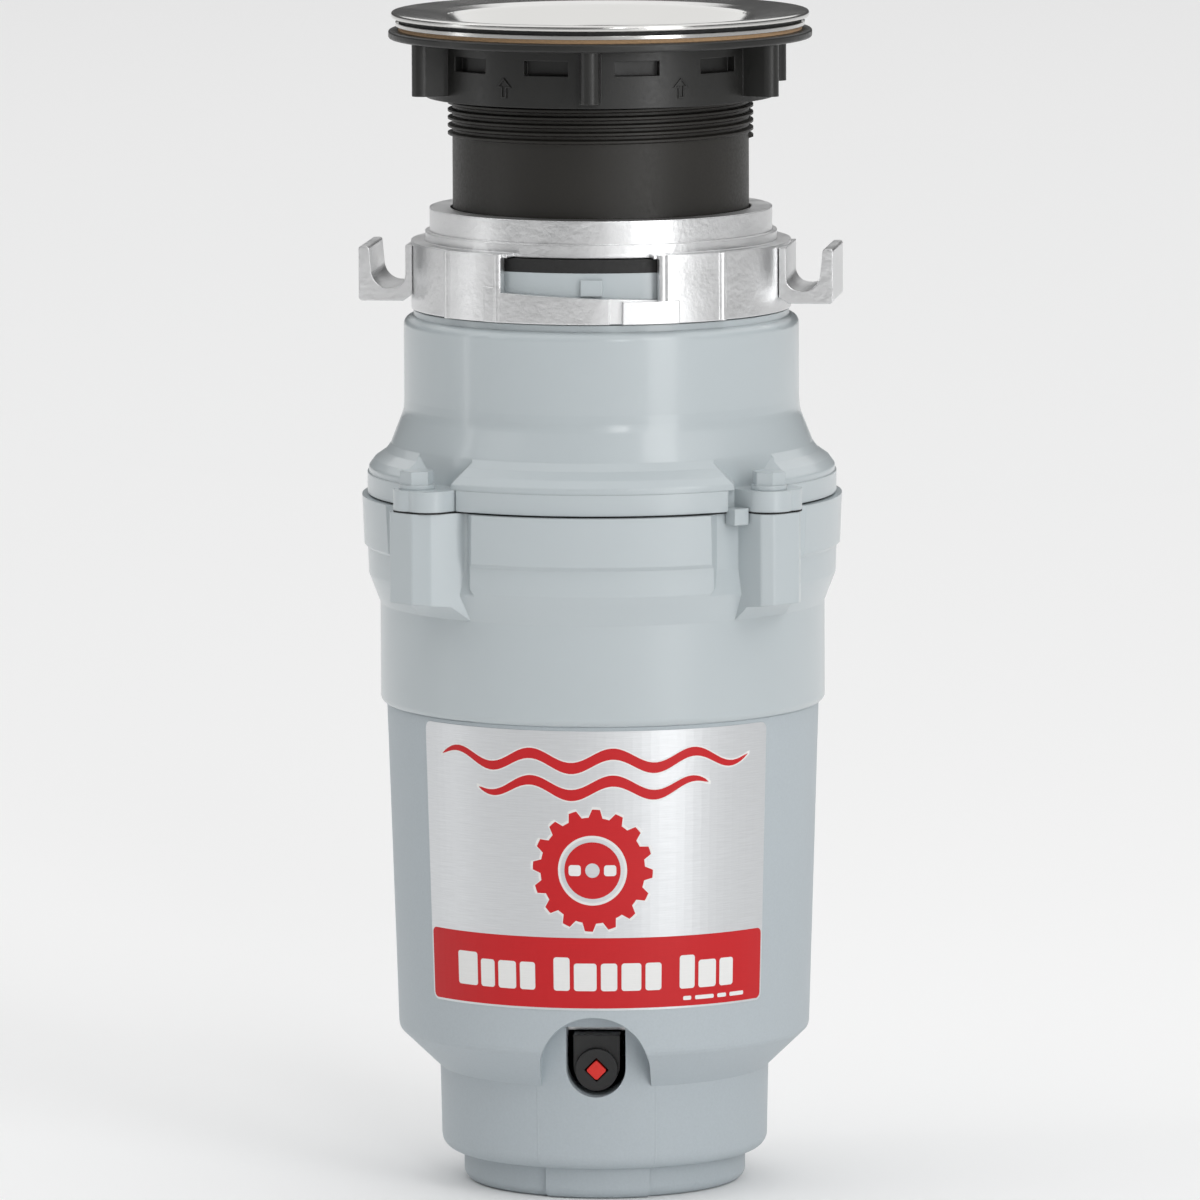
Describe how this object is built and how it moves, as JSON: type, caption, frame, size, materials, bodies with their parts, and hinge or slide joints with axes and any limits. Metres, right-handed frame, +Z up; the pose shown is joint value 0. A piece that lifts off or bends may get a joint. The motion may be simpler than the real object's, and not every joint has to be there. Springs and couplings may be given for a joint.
{
  "type": "kitchen garbage disposal",
  "caption": "Under-sink food waste disposer with a motor shell, grinding chamber, hopper, bayonet lock ring, threaded mount nut and sink flange.",
  "frame": {"origin": "centre of the foot's flat underside", "axes": "+Z up along the motor and drain axis; -Y is the front with the label and reset button; +Y is the outlet side"},
  "size_m": [0.132, 0.1399, 0.3229],
  "materials": {
    "gloss_grey_paint": "gloss enamel",
    "housing_grey": "gloss",
    "shell_grey": "fine matte texture",
    "label_foil": "brushed foil with printed band",
    "cast_aluminium": "machined casting",
    "stainless": "polished",
    "zinc_steel": "bright zinc",
    "motor_steel": "dull",
    "black_nylon": "satin",
    "tube_black": "satin moulding",
    "black_rubber": "dull",
    "fibre_tan": "pressed fibre",
    "red_plastic": "gloss",
    "phenolic_black": "dull",
    "board_green": "board lacquer",
    "nylon_white": "satin",
    "copper": "enamelled wire",
    "bronze": "sintered",
    "laminated_iron": "dull",
    "magnet_ferrite": "dull",
    "carbon": "dull"
  },
  "bodies": {
    "housing": {"motor_shell": "shell_grey", "name_label": "label_foil", "shell_screws": "zinc_steel", "ground_screw": "zinc_steel", "cord_inlet_bushing": "black_nylon", "overload_protector": "phenolic_black", "lower_housing": "housing_grey", "housing_gasket": "black_rubber", "hopper": "housing_grey", "dishwasher_inlet_plug": "black_nylon", "flange_bolts": "gloss_grey_paint", "grind_ring": "stainless", "mount_cushion": "black_rubber", "splash_guard": "black_rubber", "threaded_tube": "tube_black", "sink_gasket": "black_rubber", "sink_flange": "stainless", "lower_bearing": "bronze", "upper_bearing": "bronze", "shaft_seal": "black_rubber", "motor_end_cap": "cast_aluminium", "through_bolts": "zinc_steel", "motor_can": "motor_steel", "magnets": "magnet_ferrite", "brushes": "carbon", "brush_springs": "zinc_steel", "brush_holders": "bronze", "brush_leads": "nylon_white", "rectifier_board": "board_green", "board_standoffs": "nylon_white"},
    "rotor": {"motor_shaft": "motor_steel", "armature_core": "laminated_iron", "armature_windings": "copper", "commutator": "copper", "water_slinger": "black_rubber", "turntable": "stainless", "turntable_nut": "stainless", "impeller_rivets": "stainless"},
    "impeller_a": {"impeller_a": "stainless"},
    "impeller_b": {"impeller_b": "stainless"},
    "lock_ring": {"lock_ring": "cast_aluminium"},
    "clamp_stack": {"friction_ring": "stainless", "fibre_gasket": "fibre_tan"},
    "nut": {"mounting_nut": "black_nylon"},
    "reset_button": {"reset_button": "red_plastic"}
  },
  "joints": [
    {"name": "turntable_spin", "type": "hinge", "parent": "housing", "child": "rotor", "pos_m": [0, 0, 0.1], "axis": [0, 0, 1], "continuous": true},
    {"name": "impeller_a_swing", "type": "hinge", "parent": "rotor", "child": "impeller_a", "pos_m": [0, -0.034, 0.185], "axis": [0, 0, 1], "continuous": true},
    {"name": "impeller_b_swing", "type": "hinge", "parent": "rotor", "child": "impeller_b", "pos_m": [0, 0.034, 0.185], "axis": [0, 0, 1], "continuous": true},
    {"name": "lock_ring_turn", "type": "hinge", "parent": "housing", "child": "lock_ring", "pos_m": [0, 0, 0.25], "axis": [0, 0, 1], "range_deg": [-32, 0]},
    {"name": "stack_slide", "type": "slide", "parent": "housing", "child": "clamp_stack", "axis": [0, 0, -1], "range_m": [0, 0.0085]},
    {"name": "nut_turn", "type": "hinge", "parent": "clamp_stack", "child": "nut", "pos_m": [0, 0, 0.3], "axis": [0, 0, -1], "range_deg": [0, 1440]},
    {"name": "reset_press", "type": "slide", "parent": "housing", "child": "reset_button", "axis": [0, 1, 0], "range_m": [0, 0.0015], "stiffness_N_per_m": 300, "springref_m": -0.0005}
  ],
  "couplings": [
    {"joint": "stack_slide", "follows": "nut_turn", "m_per_rad": 0.00033688}
  ]
}
